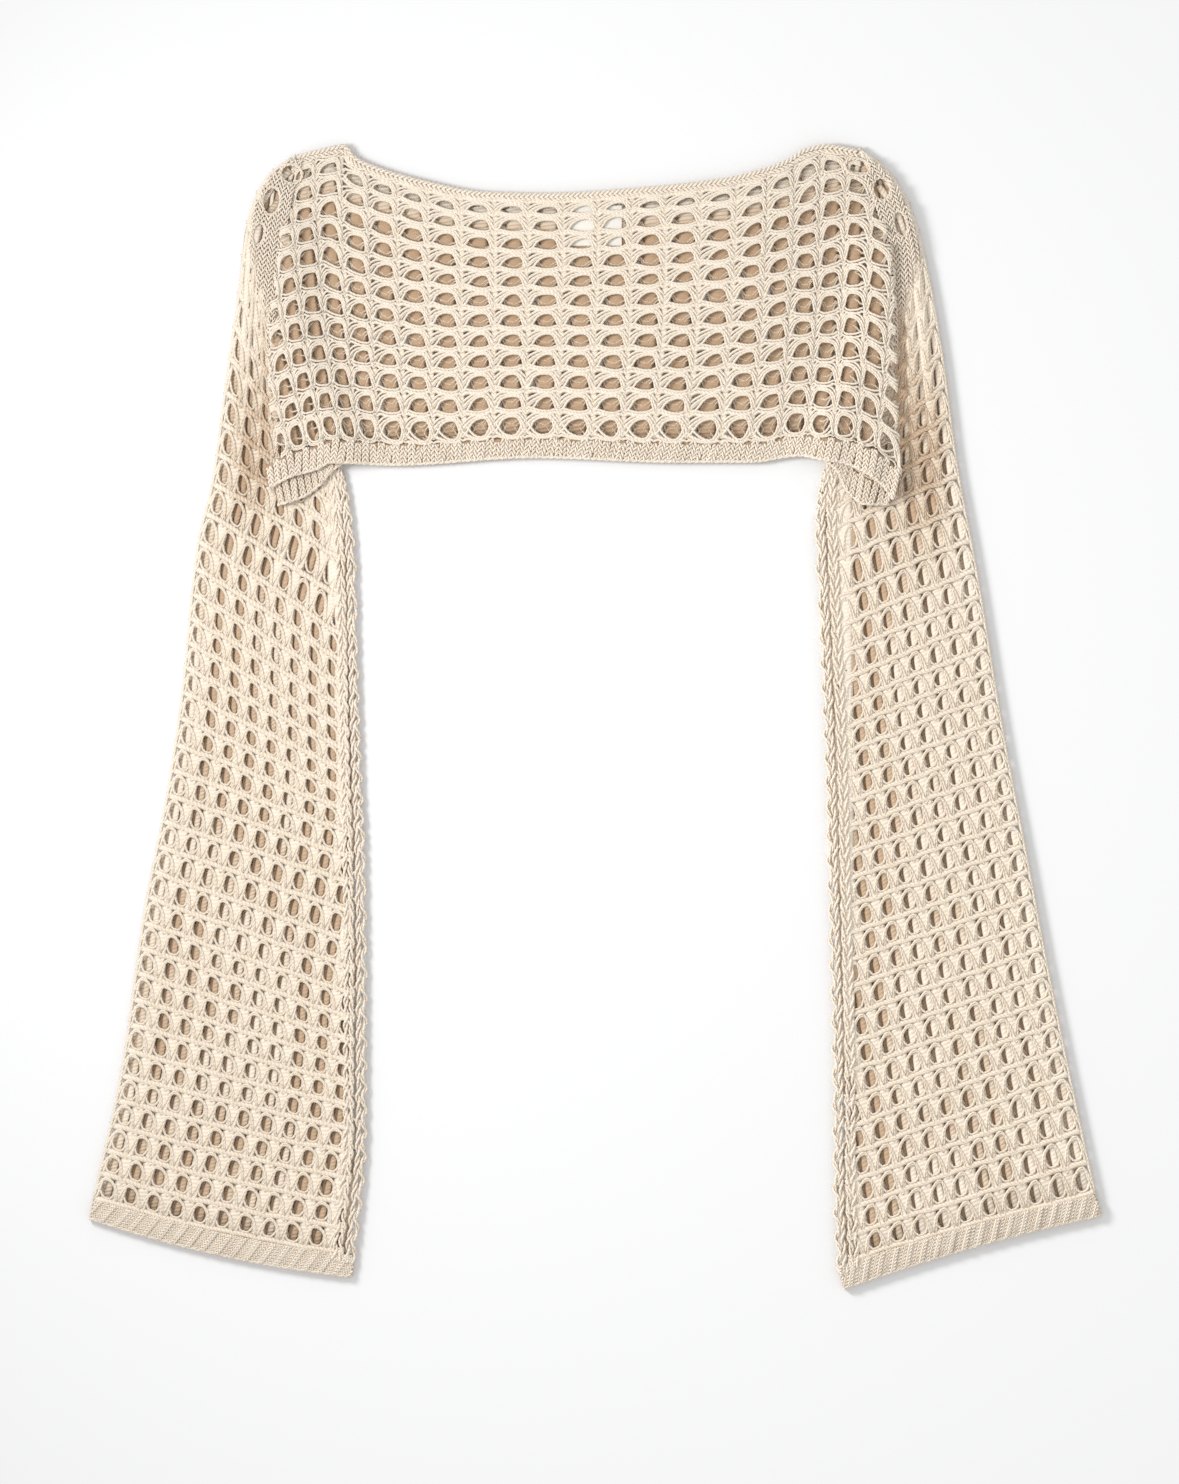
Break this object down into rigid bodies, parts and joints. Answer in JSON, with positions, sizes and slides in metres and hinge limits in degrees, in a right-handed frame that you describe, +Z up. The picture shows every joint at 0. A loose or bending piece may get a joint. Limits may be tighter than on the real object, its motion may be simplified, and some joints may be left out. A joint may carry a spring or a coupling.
{
  "type": "cropped sweater",
  "caption": "Cropped open-knit sweater with a wide boat neck, ribbed hem and long flared sleeves, laid flat with the sleeves drawn down beside the body.",
  "frame": {"origin": "on the surface it lies on, under the middle of its bounding box", "axes": "+X to the right across the hem as the front is seen, +Y from the cuffs to the neck, +Z up from the surface"},
  "size_m": [0.658, 0.7439, 0.0139],
  "materials": {
    "knit": "matte cotton yarn in an open net knit",
    "band": "matte cotton yarn in a dense ribbed knit",
    "label": "smooth white woven tape"
  },
  "bodies": {
    "root": {"front_panel": "knit", "back_panel": "knit", "sleeve_left": "knit", "sleeve_right": "knit", "neck_band_front": "band", "neck_band_back": "band", "hem_band_front": "band", "hem_band_back": "band", "cuff_left": "band", "cuff_right": "band", "label": "label"}
  },
  "joints": []
}
